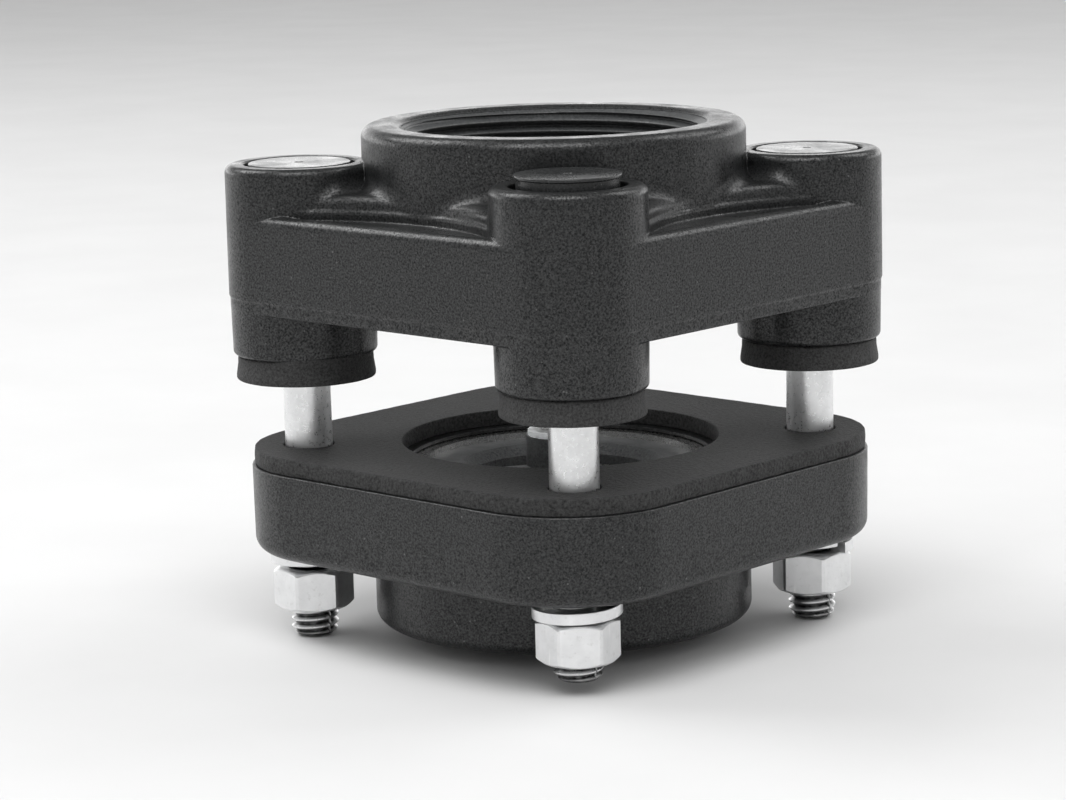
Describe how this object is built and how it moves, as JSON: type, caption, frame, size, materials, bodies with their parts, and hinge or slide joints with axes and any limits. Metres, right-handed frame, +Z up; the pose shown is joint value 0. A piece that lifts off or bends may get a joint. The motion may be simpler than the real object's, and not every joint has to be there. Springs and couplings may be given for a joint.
{
  "type": "foot valve",
  "caption": "Bolted tank-bottom foot valve: square upper flange on legs, square lower flange with a spring-closed disc valve, drawn together through the tank's floor.",
  "frame": {"origin": "on the axis of both pipe ports, in the plane of the leg seals' undersides, which rest on the tank's floor", "axes": "+Z up along the ports' axis, out of the upper port; X and Y parallel to the square flanges' sides"},
  "size_m": [0.1016, 0.1016, 0.1031],
  "materials": {
    "moulded_plastic": "moulded, fine grain",
    "cap_plastic": "moulded, smooth",
    "black_rubber": "granular",
    "gasket_rubber": "matte sheet",
    "valve_rubber": "matte",
    "zinc_steel": "bright zinc plate",
    "stainless_steel": "turned",
    "valve_plastic": "moulded",
    "bush_plastic": "turned"
  },
  "bodies": {
    "housing": {"upper_flange": "moulded_plastic", "leg_seals": "black_rubber", "bolt_head_seals": "black_rubber", "bolts": "zinc_steel", "bolt_head_caps": "cap_plastic"},
    "clamp": {"flange_gasket": "gasket_rubber", "lower_flange": "moulded_plastic", "lock_washers": "zinc_steel", "seat_ring": "valve_plastic", "seat_o_ring": "black_rubber", "seat_retaining_ring": "stainless_steel", "guide_bush": "bush_plastic", "valve_spring": "stainless_steel"},
    "nut_front": {"nut_front": "zinc_steel"},
    "nut_right": {"nut_right": "zinc_steel"},
    "nut_back": {"nut_back": "zinc_steel"},
    "nut_left": {"nut_left": "zinc_steel"},
    "poppet": {"poppet_disc": "valve_plastic", "poppet_seal": "valve_rubber", "seal_retainer": "stainless_steel", "poppet_stem": "stainless_steel", "spring_cup": "stainless_steel", "stem_lock_nut": "stainless_steel"}
  },
  "joints": [
    {"name": "clamp_slide", "type": "slide", "parent": "housing", "child": "clamp", "axis": [0, 0, 1], "range_m": [-0.003, 0.01]},
    {"name": "poppet_lift", "type": "slide", "parent": "clamp", "child": "poppet", "axis": [0, 0, -1], "range_m": [0, 0.008], "stiffness_N_per_m": 200, "springref_m": -0.008, "deforming": ["valve_spring"]},
    {"name": "nut_front_turn", "type": "hinge", "parent": "clamp", "child": "nut_front", "pos_m": [0.03592, -0.03592, -0.04317], "axis": [0, 0, 1], "range_deg": [-690, 2275]},
    {"name": "nut_right_turn", "type": "hinge", "parent": "clamp", "child": "nut_right", "pos_m": [0.03592, 0.03592, -0.04317], "axis": [0, 0, 1], "range_deg": [-690, 2275]},
    {"name": "nut_back_turn", "type": "hinge", "parent": "clamp", "child": "nut_back", "pos_m": [-0.03592, 0.03592, -0.04317], "axis": [0, 0, 1], "range_deg": [-690, 2275]},
    {"name": "nut_left_turn", "type": "hinge", "parent": "clamp", "child": "nut_left", "pos_m": [-0.03592, -0.03592, -0.04317], "axis": [0, 0, 1], "range_deg": [-690, 2275]}
  ],
  "couplings": [
    {"joint": "nut_front_turn", "follows": "clamp_slide", "rad_per_m": 3957.9},
    {"joint": "nut_right_turn", "follows": "clamp_slide", "rad_per_m": 3957.9},
    {"joint": "nut_back_turn", "follows": "clamp_slide", "rad_per_m": 3957.9},
    {"joint": "nut_left_turn", "follows": "clamp_slide", "rad_per_m": 3957.9}
  ]
}
